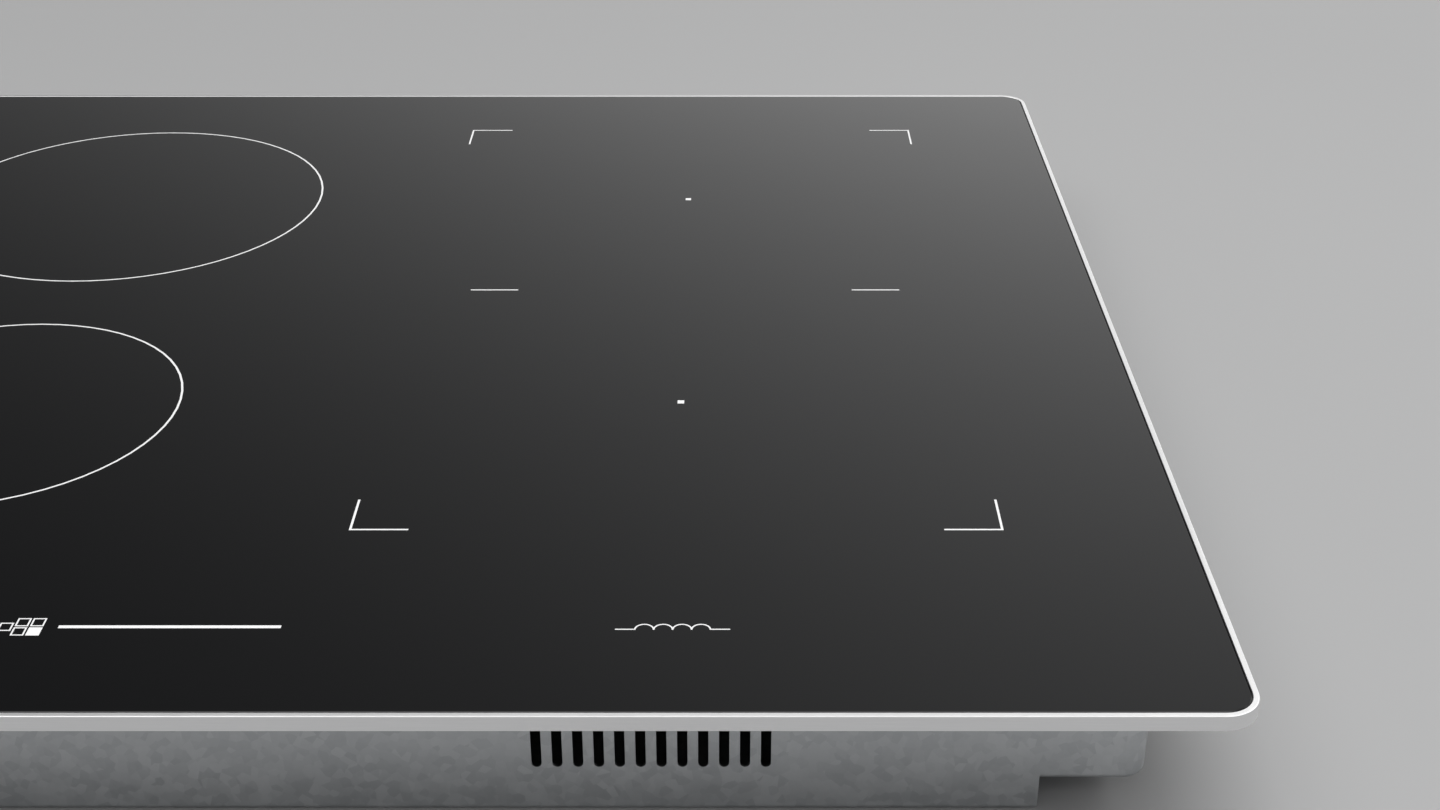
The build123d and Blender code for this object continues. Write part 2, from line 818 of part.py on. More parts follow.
def board_components(name, x, y):
    """What is soldered to a board: capacitors, chokes, relays, a filter, switches and connectors."""

    def on_board(places):
        return Locations(*[(x + u * board_width / 2, y + v * board_depth / 2) for u, v in places])

    with BuildPart() as parts:
        with BuildSketch(Plane.XY.offset(board_top)):
            with on_board(capacitor_places):
                Circle(capacitor_radius)
        extrude(amount=component_room - tall_margin)
        fillet(parts.faces().sort_by(Axis.Z)[-2:].edges(), component_round)
        with BuildSketch(Plane.XY.offset(board_top)):
            with on_board(choke_places):
                Circle(choke_radius)
                Circle(choke_hole, mode=Mode.SUBTRACT)
        extrude(amount=min(choke_height, component_room))
        for (long, wide, high), places in (
            (relay_size, relay_places),
            (filter_size, filter_places),
            (film_capacitor_size, film_capacitor_places),
            (switch_size, switch_places),
        ):
            with BuildSketch(Plane.XY.offset(board_top)):
                with on_board(places):
                    RectangleRounded(long, wide, component_round)
            extrude(amount=min(high, component_room))
        with BuildSketch(Plane.XY.offset(board_top)):
            with Locations((x, y)):
                with GridLocations(1, board_depth - 2 * connector_inset, 1, 2):
                    Rectangle(connector_size[0], connector_size[1])
        extrude(amount=connector_size[2])
    save(parts, name)


def fan_housing(name, x, y):
    """A blower's scroll: air enters below and leaves at the right-hand side."""
    inside = fan_top - sheet - 2 * fan_wall
    with BuildPart() as scroll:
        with BuildSketch(Plane.XY.offset(sheet)):
            with Locations((x, y)):
                RectangleRounded(fan_side, fan_side, fan_corner)
        extrude(amount=fan_top - sheet)
        with BuildSketch(Plane.XY.offset(sheet + fan_wall)):
            with Locations((x, y)):
                Circle(fan_cavity_radius)
                with Locations((0, fan_outlet_low)):
                    outlet = fan_cavity_radius - fan_outlet_low
                    Rectangle(fan_side, outlet, align=(Align.MIN, Align.MIN))
        extrude(amount=inside, mode=Mode.SUBTRACT)
        with BuildSketch(Plane.XY.offset(sheet)):
            with Locations((x, y)):
                Circle(fan_inlet_radius)
        extrude(amount=fan_wall, mode=Mode.SUBTRACT)
        with BuildSketch(Plane.XY.offset(sheet + 2 * fan_wall)):
            with Locations((x, y)):
                Circle(shaft_radius)
        extrude(amount=inside)
    save(scroll, name)


def fan_rotor(name, x, y):
    """A wheel of upright blades on a cup that turns on the housing's fixed shaft."""
    top = fan_top - fan_wall - rotor_end_gap
    low = sheet + fan_wall + rotor_end_gap
    with BuildPart() as wheel:
        with BuildSketch(Plane.XY.offset(top - rotor_disc)):
            with Locations((x, y)):
                Circle(rotor_radius)
        extrude(amount=rotor_disc)
        with BuildSketch(Plane.XY.offset(low)):
            with Locations((x, y)):
                Circle(rotor_radius)
                Circle(rotor_radius - rotor_ring, mode=Mode.SUBTRACT)
        extrude(amount=rotor_disc)
        with BuildSketch(Plane.XY.offset(low + rotor_hub_lift)):
            with Locations((x, y)):
                Circle(rotor_hub_radius)
        extrude(amount=top - low - rotor_hub_lift)
        with BuildSketch(Plane.XY.offset(low + rotor_disc)):
            with Locations((x, y)):
                with PolarLocations(rotor_radius - blade_length / 2, rotor_blades):
                    Rectangle(blade_length, blade_thickness, rotation=blade_angle)
        extrude(amount=top - low - rotor_disc)
        with BuildSketch(Plane.XY.offset(low)):
            with Locations((x, y)):
                Circle(shaft_radius + shaft_clearance)
        extrude(amount=top - low, mode=Mode.SUBTRACT)
    save(wheel, name)


for side, fan_place, board_place in zip(("left", "right"), fan_places, board_places):
    power_board(f"{side}_power_board", *board_place)
    heatsink(f"{side}_heatsink", board_place[0])
    board_components(f"{side}_board_components", *board_place)
    fan_housing(f"{side}_fan_housing", *fan_place)
    fan_rotor(f"{side}_fan_rotor", *fan_place)


# ---- Touch controls under the front of the glass -------------------------------------------

touch_left = -bay_half - touch_overhang
touch_right = slider_right + touch_margin
touch_x = (touch_left + touch_right) / 2
touch_width = touch_right - touch_left
touch_z = glass_bottom - pad_height - board_thickness
carrier_z = touch_z - carrier_height
leg_pitch = (touch_width - 2 * leg_inset) / (leg_count - 1)
power_key_x = touch_left + power_key_inset
lock_key_x = power_key_x + key_pitch

with BuildPart() as touch_board:
    with BuildSketch(Plane.XY.offset(touch_z)):
        with Locations((touch_x, slider_y)):
            RectangleRounded(touch_width, touch_depth, touch_corner)
    extrude(amount=board_thickness)
save(touch_board, "touch_board")

with BuildPart() as touch_carrier:
    with BuildSketch(Plane.XY.offset(carrier_z)):
        with Locations((touch_x, slider_y)):
            carrier = (touch_width + 2 * carrier_margin, touch_depth + 2 * carrier_margin)
            RectangleRounded(*carrier, touch_corner + carrier_margin)
    extrude(amount=carrier_height)
    with BuildSketch(Plane.XY.offset(sheet)):
        with Locations((touch_x, slider_y)):
            with GridLocations(leg_pitch, 1, leg_count, 1):
                RectangleRounded(leg_size, leg_size, leg_round)
    extrude(amount=carrier_z - sheet)
save(touch_carrier, "touch_carrier")

with BuildPart() as touch_pads:
    with BuildSketch(Plane.XY.offset(touch_z + board_thickness)):
        for i in range(slider_count):
            middle_x = slider_right - i * slider_pitch - slider_length / 2
            with Locations((middle_x, slider_y)):
                with GridLocations(slider_length / (pads_per_slider - 1), 1, pads_per_slider, 1):
                    Circle(pad_diameter / 2)
        with Locations((power_key_x, slider_y), (lock_key_x, slider_y)):
            Circle(pad_diameter / 2)
    extrude(amount=pad_height)
save(touch_pads, "touch_pads")


# ---- Terminal box, its lid and the conduit gland -------------------------------------------

flange_y = case_rear + terminal_flange
hinge_z = terminal_z + terminal_height / 2 + hinge_above_box
hinge_y = flange_y + lid_gap + hinge_radius
lid_half = terminal_width / 2 + lid_margin
ear_inner = lid_half + ear_gap
cavity_width = terminal_width - 2 * terminal_wall
cavity_height = terminal_height - 2 * terminal_wall

with BuildPart() as terminal_block:
    with BuildSketch(Plane.XZ.offset(-case_rear)):
        with Locations((terminal_x, terminal_z)):
            Rectangle(terminal_width, terminal_height)
    extrude(amount=terminal_depth)
    with BuildSketch(Plane.XZ.offset(-flange_y)):
        with Locations((terminal_x, terminal_z + flange_lift)):
            flange = (2 * (ear_inner + ear_width), terminal_height + 2 * flange_overlap)
            RectangleRounded(*flange, terminal_wall)
    extrude(amount=flange_y - case_rear)
    with BuildSketch(Plane.YZ.offset(terminal_x)):
        with Locations((flange_y, hinge_z)):
            Rectangle(2 * (hinge_y - flange_y), 2 * hinge_radius, align=(Align.CENTER, Align.CENTER))
    extrude(amount=ear_inner + ear_width, both=True)
    with BuildSketch(Plane.YZ.offset(terminal_x)):
        with Locations((flange_y, hinge_z)):
            Rectangle(3 * hinge_radius, 4 * hinge_radius, align=(Align.MIN, Align.CENTER))
    extrude(amount=ear_inner, both=True, mode=Mode.SUBTRACT)
    with BuildSketch(Plane.YZ.offset(terminal_x)):
        with Locations((case_rear, hinge_z)):
            Rectangle(3 * hinge_radius, 2 * hinge_radius, align=(Align.MAX, Align.CENTER))
    extrude(amount=ear_inner + ear_width, both=True, mode=Mode.SUBTRACT)
    with BuildSketch(Plane.XZ.offset(-flange_y)):
        with Locations((terminal_x, terminal_z)):
            Rectangle(cavity_width, cavity_height)
    extrude(amount=flange_y - case_rear + terminal_depth - terminal_wall, mode=Mode.SUBTRACT)
    # A row of five screw terminals at the back of the cavity
    cavity_back = case_rear - terminal_depth + terminal_wall
    with BuildSketch(Plane.XY.offset(terminal_z - cavity_height / 2)):
        with Locations((terminal_x, cavity_back)):
            Rectangle(cavity_width, terminal_rail, align=(Align.CENTER, Align.MIN))
    extrude(amount=cavity_height - rail_gap)
    with BuildSketch(Plane.XY.offset(terminal_z + cavity_height / 2 - rail_gap)):
        with Locations((terminal_x, cavity_back + terminal_rail / 2)):
            with GridLocations(terminal_pitch, 1, terminal_count, 1):
                Circle(terminal_pit_radius)
    extrude(amount=-terminal_pit_depth, mode=Mode.SUBTRACT)
    with BuildSketch(Plane.YZ.offset(terminal_x)):
        with Locations((hinge_y, hinge_z)):
            Circle(hinge_pin + hinge_pin_clearance)
    extrude(amount=ear_inner + ear_width, both=True, mode=Mode.SUBTRACT)
save(terminal_block, "terminal_block")

lid_low = terminal_z - terminal_height / 2 - lid_margin
lid_y = hinge_y - hinge_radius
with BuildPart() as terminal_lid:
    with BuildSketch(Plane.YZ.offset(terminal_x)):
        with Locations((hinge_y, hinge_z)):
            Circle(hinge_radius)
        with Locations((lid_y, lid_low)):
            Rectangle(lid_thickness, hinge_z - lid_low, align=(Align.MIN, Align.MIN))
    extrude(amount=lid_half, both=True)
    with BuildSketch(Plane.YZ.offset(terminal_x)):
        with Locations((hinge_y, hinge_z)):
            Circle(hinge_pin)
    extrude(amount=ear_inner + ear_width - pin_end_gap, both=True)
    # A finger lip along the lower edge
    with BuildSketch(Plane.XY.offset(lid_low)):
        with Locations((terminal_x, lid_y + lid_thickness)):
            Rectangle(lip_width, lip_reach, align=(Align.CENTER, Align.MIN))
    extrude(amount=lip_height)
save(terminal_lid, "terminal_lid")

with BuildPart() as cable_gland:
    with BuildSketch(Plane.XZ.offset(-case_rear)):
        with Locations((gland_x, gland_z)):
            Circle(gland_flange)
    extrude(amount=-gland_flange_thickness)
    with BuildSketch(Plane.XZ.offset(-case_rear)):
        with Locations((gland_x, gland_z)):
            Circle(gland_neck)
    extrude(amount=gland_neck_length)
    with BuildSketch(Plane.XZ.offset(sheet - case_rear)):
        with Locations((gland_x, gland_z)):
            RegularPolygon(gland_nut_radius, 6)
    extrude(amount=gland_nut_thickness)
    with BuildSketch(Plane.XZ.offset(-case_rear)):
        with Locations((gland_x, gland_z)):
            Circle(gland_bore)
    extrude(amount=gland_neck_length, both=True, mode=Mode.SUBTRACT)
save(cable_gland, "cable_gland")


# ---- Clamps and screws ---------------------------------------------------------------------

# Each clamp is a stepped strip that turns on a screw under a side ledge. At rest it is parked
# along the case; turned out, its raised tip reaches under the worktop.
tip_z = ledge_height - clamp_below_ledge - clamp_thickness
clamp_z = tip_z - clamp_rise


def clamp_solid():
    """A clamp with its pivot on the Z axis and its tip out along +X."""
    end = clamp_width / 2
    lean = clamp_thickness * 2 / 3  # keeps the sloping part as thick as the rest
    with BuildPart() as strip:
        with BuildSketch(Plane.XZ):
            with BuildLine():
                Polyline(
                    (-end, clamp_z),
                    (clamp_step_start, clamp_z),
                    (clamp_step_end, tip_z),
                    (clamp_reach, tip_z),
                    (clamp_reach, tip_z + clamp_thickness),
                    (clamp_step_end - lean, tip_z + clamp_thickness),
                    (clamp_step_start - lean, clamp_z + clamp_thickness),
                    (-end, clamp_z + clamp_thickness),
                    close=True,
                )
            make_face()
        extrude(amount=end, both=True)
        with BuildSketch(Plane.XY):
            with Locations(((clamp_reach - end) / 2, 0)):
                RectangleRounded(clamp_reach + end, clamp_width, clamp_round)
        extrude(amount=ledge_height, mode=Mode.INTERSECT)
        with BuildSketch(Plane.XY):
            Circle(screw_radius + clamp_pivot_clearance)
        extrude(amount=ledge_height, mode=Mode.SUBTRACT)
    return strip.part


one_clamp = clamp_solid()
for name, (x, y, angle) in clamp_places.items():
    with BuildPart() as clamp:
        with Locations(Location((x, y, 0), (0, 0, angle))):
            add(one_clamp)
    save(clamp, name)


def pan_screw(length):
    """A pan-head screw with a cross recess: its head stands on the origin, its shank points down."""
    with BuildPart() as screw:
        with BuildSketch(Plane.XY):
            Circle(screw_head_radius)
        extrude(amount=screw_head_height)
        fillet(screw.faces().sort_by(Axis.Z)[-1].edges(), screw_head_round)
        with BuildSketch(Plane.XY):
            Circle(screw_radius)
        extrude(amount=-length)
        chamfer(screw.faces().sort_by(Axis.Z)[0].edges(), screw_tip_chamfer)
        with BuildSketch(Plane.XY.offset(screw_head_height)):
            Rectangle(screw_head_radius, recess_width)
            Rectangle(recess_width, screw_head_radius)
        extrude(amount=-recess_depth, mode=Mode.SUBTRACT)
    return screw.part


wall_screw = pan_screw(wall_screw_length)
board_screw = pan_screw(board_thickness + board_screw_bite)
post_screw = pan_screw(sheet + post_thread - thread_end)
clamp_screw = pan_screw(ledge_height + clamp_screw_end - clamp_z)
plate_screw = pan_screw(plate_thickness + post_thread - thread_end)
wall_places = [Plane(origin=(x, case_rear, z), z_dir=(0, 1, 0)) for x, z in long_wall_screws]
wall_places += [Plane(origin=(x, case_front, z), z_dir=(0, -1, 0)) for x, z in long_wall_screws]
wall_places += [Plane(origin=(case_half, y, z), z_dir=(1, 0, 0)) for y, z in side_wall_screws]
wall_places += [Plane(origin=(-case_half, y, z), z_dir=(-1, 0, 0)) for y, z in side_wall_screws]
sleeve_z = clamp_z + clamp_thickness + clamp_play
below_dimples = [Plane(origin=(x, y, dimple_height - sheet), z_dir=(0, 0, -1)) for x, y in post_places]
below_clamps = [Plane(origin=(x, y, clamp_z - clamp_play), z_dir=(0, 0, -1)) for x, y in clamp_points]

with BuildPart() as screws:
    with Locations(*wall_places):
        add(wall_screw)
    with Locations(*[(x, y, board_top) for x, y in board_screw_places]):
        add(board_screw)
    with Locations(*[(x, y, plate_z + plate_thickness) for x, y in post_places]):
        add(plate_screw)
    with Locations(*below_dimples):
        add(post_screw)
    with Locations(*below_clamps):
        add(clamp_screw)
    # A spacer sleeve below the ledge and a nut above it, on each clamp's screw
    with BuildSketch(Plane.XY.offset(sleeve_z)):
        with Locations(*clamp_points):
            Circle(screw_hole + sleeve_wall)
            Circle(screw_hole, mode=Mode.SUBTRACT)
    extrude(amount=ledge_height - sleeve_z)
    with BuildSketch(Plane.XY.offset(ledge_height + sheet)):
        with Locations(*clamp_points):
            RegularPolygon(nut_across_flats / 2, 6, major_radius=False)
            Circle(screw_radius + shaft_clearance, mode=Mode.SUBTRACT)
    extrude(amount=nut_height)
save(screws, "screws")


# ---- Wiring --------------------------------------------------------------------------------

lead_z = board_top + lead_above_board
left_board_x, right_board_x = (place[0] for place in board_places)
board_rear = fan_y + board_depth / 2 - lead_overlap
board_front = fan_y - board_depth / 2 + lead_overlap
terminal_front = case_rear - terminal_depth
left_posts_rear = bridge_y + large_zone / 2 + plate_margin - post_inset
rear_lane = left_posts_rear - lane_to_posts  # the left lead's way along the case
right_lane = board_rear + lane_to_board


def lead(*points):
    """An insulated lead: straight runs joined by round bends."""
    with BuildPart() as tube:
        with BuildLine():
            route = FilletPolyline(*points, radius=lead_bend)
        with BuildSketch(Plane(origin=route @ 0, z_dir=route % 0)):
            Circle(lead_radius)
        sweep(path=route)
    return tube.part


left_lead_x = terminal_x - leads_apart / 2
right_lead_x = terminal_x + leads_apart / 2
mains_right = lead(
    (right_lead_x, terminal_front, lead_z),
    (right_lead_x, right_lane, lead_z),
    (right_board_x, right_lane, lead_z),
    (right_board_x, board_rear, lead_z),
)
mains_left = lead(
    (left_lead_x, terminal_front, lead_z),
    (left_lead_x, rear_lane, lead_z),
    (left_board_x, rear_lane, lead_z),
    (left_board_x, board_rear, lead_z),
)
signal = lead(
    (left_board_x, board_front, lead_z),
    (left_board_x, slider_y, lead_z),
    (left_board_x, slider_y, carrier_z),
)
with BuildPart() as wiring_loom:
    add(mains_right)
    add(mains_left)
    add(signal)
save(wiring_loom, "wiring_loom")


# ---- Printing on the glass -----------------------------------------------------------------


def outline_box(w, h, line):
    """A rectangle drawn as a closed line."""
    Rectangle(w, h)
    Rectangle(w - 2 * line, h - 2 * line, mode=Mode.SUBTRACT)


with BuildPart() as zone_markings:
    with BuildSketch(Plane.XY.offset(glass_top)):
        for x, y, zone in (
            (large_x, bridge_y, large_zone),
            (large_x, bridge_y, inner_ring),
            (centre_x, rear_y, rear_zone),
            (centre_x, front_y, front_zone),
        ):
            with Locations((x, y)):
                Circle(zone / 2)
                Circle(zone / 2 - line_width, mode=Mode.SUBTRACT)
        # The bridge zone: four corners, a dash at each side and a dot over each coil
        for sx in (-1, 1):
            for sy in (-1, 1):
                corner = (bridge_x + sx * bridge_width / 2, bridge_y + sy * bridge_depth / 2)
                inward = (
                    Align.MAX if sx > 0 else Align.MIN,
                    Align.MAX if sy > 0 else Align.MIN,
                )
                with Locations(corner):
                    Rectangle(corner_mark, line_width, align=inward)
                    Rectangle(line_width, corner_mark, align=inward)
        dash_x = bridge_width / 2 - 1.5 * dash_length
        with Locations((bridge_x - dash_x, bridge_y), (bridge_x + dash_x, bridge_y)):
            Rectangle(dash_length, line_width)
        with Locations(*bridge_centres):
            Rectangle(dot_size, dot_size)
    extrude(amount=print_thickness)
save(zone_markings, "zone_markings")


def zone_icon(filled):
    """Five small boxes for the five coils, with the one that the slider controls filled."""
    dx = (icon_width + icon_gap) / 2
    dy = (icon_height + icon_gap) / 2
    boxes = [(dx, -dy), (dx, dy), (-dx, dy), (-dx, -dy), (-2 * dx - icon_width / 2 - icon_gap / 2, 0)]
    for i, place in enumerate(boxes):
        with Locations(place):
            if i == filled:
                Rectangle(icon_width, icon_height)
            else:
                outline_box(icon_width, icon_height, icon_line)


with BuildSketch() as hump:
    Circle(emblem_radius)
    Circle(emblem_radius - icon_line, mode=Mode.SUBTRACT)
    Rectangle(3 * emblem_radius, 2 * emblem_radius, align=(Align.CENTER, Align.MAX), mode=Mode.SUBTRACT)

with BuildPart() as control_markings:
    icon_x = slider_length + icon_from_slider + icon_width + icon_gap / 2
    with BuildSketch(Plane.XY.offset(glass_top)):
        for i in range(slider_count):
            with Locations((slider_right - i * slider_pitch, slider_y)):
                Rectangle(slider_length, slider_line, align=(Align.MAX, Align.CENTER))
                with Locations((-icon_x, 0)):
                    zone_icon(i)
        # On and off
        with Locations((power_key_x, slider_y)):
            Circle(power_ring)
            Circle(power_ring - key_line, mode=Mode.SUBTRACT)
            with Locations((0, power_ring - key_line)):
                Rectangle(power_opening, power_opening, mode=Mode.SUBTRACT)
                Rectangle(key_line, power_bar)
        # Key lock: a shackle, then the body over its lower half
        with Locations((lock_key_x, slider_y)):
            SlotOverall(shackle_height, shackle_width, rotation=90)
            shackle_hole = (shackle_height - 2 * key_line, shackle_width - 2 * key_line)
            SlotOverall(*shackle_hole, rotation=90, mode=Mode.SUBTRACT)
            with Locations((0, -lock_height / 2)):
                RectangleRounded(lock_width, lock_height, key_line)
        # The circuit symbol of a coil, in front of the bridge zone: four humps and two leads
        hump_pitch = 2 * emblem_radius - icon_line
        with Locations((bridge_x, slider_y - emblem_radius / 2)):
            with GridLocations(hump_pitch, 1, emblem_humps, 1):
                add(hump.sketch)
            with GridLocations((emblem_humps + 1) * hump_pitch + icon_line, 1, 2, 1):
                Rectangle(hump_pitch, icon_line, align=(Align.CENTER, Align.MIN))
    extrude(amount=print_thickness)
save(control_markings, "control_markings")
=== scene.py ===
# %% [markdown]
# # An electric induction cooktop and its finishes
#
# The shapes, sizes and joints of this hob were settled in CAD, and they arrive here as a fixed frame.
# What is left for Blender is how it looks: a sheet of black glass, a satin steel trim, fired enamel
# printing and, underneath, a galvanised case full of small hardware. We load the frame first, because
# every finish below is hung on one of its pieces, and we note its box, whose size and height the
# finishes and the floor use.

# %% Load the frame
import json
import math

import bpy
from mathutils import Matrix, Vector


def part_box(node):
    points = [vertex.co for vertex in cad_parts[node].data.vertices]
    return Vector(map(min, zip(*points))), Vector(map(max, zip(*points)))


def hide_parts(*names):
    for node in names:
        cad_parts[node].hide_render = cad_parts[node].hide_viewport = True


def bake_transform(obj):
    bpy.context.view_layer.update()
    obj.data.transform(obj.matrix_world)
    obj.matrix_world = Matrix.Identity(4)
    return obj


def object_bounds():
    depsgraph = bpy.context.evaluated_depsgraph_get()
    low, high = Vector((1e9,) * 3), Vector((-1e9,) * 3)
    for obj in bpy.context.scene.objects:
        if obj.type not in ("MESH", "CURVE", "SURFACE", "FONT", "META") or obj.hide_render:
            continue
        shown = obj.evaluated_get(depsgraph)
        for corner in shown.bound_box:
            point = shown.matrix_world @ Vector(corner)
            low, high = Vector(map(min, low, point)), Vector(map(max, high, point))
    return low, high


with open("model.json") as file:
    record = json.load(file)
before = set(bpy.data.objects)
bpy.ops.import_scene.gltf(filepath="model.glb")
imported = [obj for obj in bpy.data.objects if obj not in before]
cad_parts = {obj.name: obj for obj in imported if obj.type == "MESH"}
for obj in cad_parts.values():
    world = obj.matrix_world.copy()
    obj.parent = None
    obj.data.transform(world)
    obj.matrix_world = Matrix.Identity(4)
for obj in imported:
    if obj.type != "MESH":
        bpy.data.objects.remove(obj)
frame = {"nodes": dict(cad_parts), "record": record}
cad_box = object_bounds()

MM = 0.001
MICRON = 0.001 * MM

nodes = frame["nodes"]
hob_low, hob_high = cad_box
print("hob, mm:", [round(v / MM) for v in hob_high - hob_low])

# %% [markdown]
# ## The camera
#
# The hob is seen by someone standing at its right-hand half and looking down over the front edge. A
# 50 mm lens on a 36 mm sensor keeps the perspective mild. The camera could be aimed with a constraint,
# but a plain position and one tilt say the same thing with less.

# %% Place the camera
LENS_MM = 49.9
SENSOR_MM = 36
NEAREST_SEEN = 10 * MM
EYE_FROM_MIDDLE = Vector((296.95, -739.9, 0)) * MM
EYE_ABOVE_GLASS = 354.94 * MM
LOOKS_DOWN = 28.19  # degrees

glass_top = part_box("glass_panel")[1].z
camera_data = bpy.data.cameras.new("camera")
camera_data.lens = LENS_MM
camera_data.sensor_width = SENSOR_MM
camera_data.clip_start = NEAREST_SEEN
camera = bpy.data.objects.new("camera", camera_data)
camera.location = EYE_FROM_MIDDLE + Vector((0, 0, glass_top + EYE_ABOVE_GLASS))
camera.rotation_euler = (math.radians(90 - LOOKS_DOWN), 0, 0)
bpy.context.scene.collection.objects.link(camera)
bpy.context.scene.camera = camera
print("camera at", [round(v, 3) for v in camera.location])

# %% [markdown]
# ## Writing materials as sums
#
# A node material is a small program, and wiring it link by link hides what it says. This class wraps
# one socket, so that `0.03 + 0.05 * smear` adds its two Math nodes by itself. Each operator has its
# reflected form too, or `1 - mask` would fail where `mask - 1` works.

# %% A value that does sums
class Value:
    """One output of one node. Arithmetic on it adds Math nodes to the tree that owns it."""

    def __init__(self, owner, socket):
        self.owner = owner
        self.socket = socket

    def __add__(self, other):
        return self.owner.sum("ADD", self, other)

    def __radd__(self, other):
        return self.owner.sum("ADD", other, self)

    def __sub__(self, other):
        return self.owner.sum("SUBTRACT", self, other)

    def __rsub__(self, other):
        return self.owner.sum("SUBTRACT", other, self)

    def __mul__(self, other):
        return self.owner.sum("MULTIPLY", self, other)

    def __rmul__(self, other):
        return self.owner.sum("MULTIPLY", other, self)

    def __gt__(self, other):
        return self.owner.sum("GREATER_THAN", self, other)

    def __abs__(self):
        return self.owner.sum("ABSOLUTE", self)


print("sums ready")

# %% [markdown]
# ## A tree of nodes
#
# Materials and the world are both trees of nodes that end in one shader. Every node here comes from one
# method, `node`, which takes the node's type, its settings and what goes into its sockets. Settings are
# made first, because they decide which sockets a node has.

# %% Make and join nodes
class Nodes:
    """A tree of nodes that ends in one shader, and the coordinates that its patterns lie in."""

    def __init__(self, tree, shader, coordinates):
        self.tree = tree
        self.shader = tree.nodes[shader]
        self.place = self.node("ShaderNodeTexCoord", out=coordinates)

    def feed(self, socket, value):
        """Links a value to a socket. A plain number or colour is written on the socket itself."""
        if isinstance(value, Value):
            self.tree.links.new(value.socket, socket)
        elif hasattr(value, "__len__") and len(value) == 3 and socket.type == "RGBA":
            socket.default_value = (*value, 1.0)
        else:
            socket.default_value = value

    def set(self, **sockets):
        """Feeds the shader's own sockets, by name."""
        for name, value in sockets.items():
            self.feed(self.shader.inputs[name.replace("_", " ")], value)

    def node(self, kind, settings=None, inputs=(), out=None, **sockets):
        """Any node: its settings first, then its sockets in order or by name. Returns one output."""
        made = self.tree.nodes.new(kind)
        for name, value in (settings or {}).items():
            setattr(made, name, value)
        enabled = [socket for socket in made.inputs if socket.enabled]
        for socket, value in zip(enabled, inputs):
            self.feed(socket, value)
        for name, value in sockets.items():
            named = [socket for socket in enabled if socket.name == name.replace("_", " ")]
            self.feed(named[0], value)
        usable = [s for s in made.outputs if s.enabled and out in (None, s.name)]
        return Value(self, usable[0])

    def sum(self, operation, *values):
        """A Math node."""
        return self.node("ShaderNodeMath", {"operation": operation}, values)


print("nodes ready")

# %% [markdown]
# ## Patterns
#
# A handful of patterns makes every finish on this hob: soft noise, cells, and a way to blend between
# two colours. On a piece they are laid out in object coordinates, which are metres here, so a scale of
# 1000 means about one lump to the millimetre. In the world the same place is a direction.

# %% The patterns
class Patterns(Nodes):
    """Nodes with the patterns that this hob needs."""

    def stretched(self, stretch):
        """The place with each axis scaled."""
        return self.node("ShaderNodeVectorMath", {"operation": "MULTIPLY"}, [self.place, stretch])

    def noise(self, scale, detail=2.0, stretch=(1, 1, 1), rough=0.5):
        """Soft noise from 0 to 1, so many lumps to the metre."""
        return self.node(
            "ShaderNodeTexNoise", out="Fac",
            Vector=self.stretched(stretch), Scale=scale, Detail=detail, Roughness=rough,
        )

    def cells(self, scale, out="Distance", stretch=(1, 1, 1)):
        """Voronoi cells, so many to the metre: the distance from each one's middle, or its colour."""
        return self.node(
            "ShaderNodeTexVoronoi", out=out, Vector=self.stretched(stretch), Scale=scale
        )

    def between(self, value, low, high):
        """value, spread so that low becomes 0 and high becomes 1, and held there."""
        return self.node(
            "ShaderNodeMapRange", {"clamp": True}, Value=value, From_Min=low, From_Max=high
        )

    def blend(self, factor, first, second):
        """A colour between two."""
        return self.node(
            "ShaderNodeMix", {"data_type": "RGBA"}, Factor=factor, A=first, B=second, out="Result"
        )

    def axis(self, letter):
        """One coordinate of the place."""
        return self.node("ShaderNodeSeparateXYZ", out=letter, Vector=self.place)


print("patterns ready")

# %% [markdown]
# ## A finish
#
# A Finish is one material with one Principled shader. We keep each one under the name that the packed
# record has for it, so that it can be handed out later.

# %% A finish, and a shelf for them
class Finish(Patterns):
    """A procedural material, in object coordinates."""

    def __init__(self, name, colour, roughness, metallic=0.0, **uniform):
        self.material = bpy.data.materials.new(name)
        self.material.use_nodes = True
        super().__init__(self.material.node_tree, "Principled BSDF", "Object")
        self.set(Base_Color=colour, Roughness=roughness, Metallic=metallic, **uniform)

    def bump(self, height, distance):
        """Relief from a height that runs from 0 to 1, this deep in metres."""
        self.set(Normal=self.node("ShaderNodeBump", Height=height, Distance=distance))


finishes = {}


def keep(slot, finish):
    """Puts a finish on the shelf under the record's name for it."""
    finishes[slot] = finish
    print(f"{slot}: {finish.material.name}, {len(finish.tree.nodes)} nodes")


print("shelf ready")

# %% [markdown]
# ## Black glass-ceramic
#
# The panel is 4 mm of black glass, polished so well that its colour is only what it reflects. A flat
# black would look like plastic, so two faint things go in: wiping leaves long smears of slightly
# rougher surface, and rolled glass has a ripple of a few hundredths of a millimetre. Both are kept near
# the limit of sight, because a real hob shows them only where a light grazes it.

# %% Glass
GLASS_INDEX = 1.52
SMEARS = 5
SMEAR_STARTS, SMEAR_FULL = 0.5, 0.8
RIPPLES = 14
RIPPLE_DEPTH = 30 * MICRON

glass = Finish("black_glass_ceramic", (0.0035, 0.0036, 0.004), 0.03, IOR=GLASS_INDEX)
wiped = glass.noise(SMEARS, detail=5, stretch=(1, 2.2, 1), rough=0.6)
smear = glass.between(wiped, SMEAR_STARTS, SMEAR_FULL)
glass.set(Roughness=0.025 + 0.03 * smear)
glass.bump(glass.noise(RIPPLES, detail=1), RIPPLE_DEPTH)
keep("ceramic_glass", glass)

# %% [markdown]
# ## Satin steel
#
# The trim is drawn stainless strip, linished along its length. Linishing leaves fine scratches that all
# run one way, so each side of the trim needs streaks along itself. We stretch the same noise along X
# for the front and back and along Y for the sides, and choose by which edge is nearer.

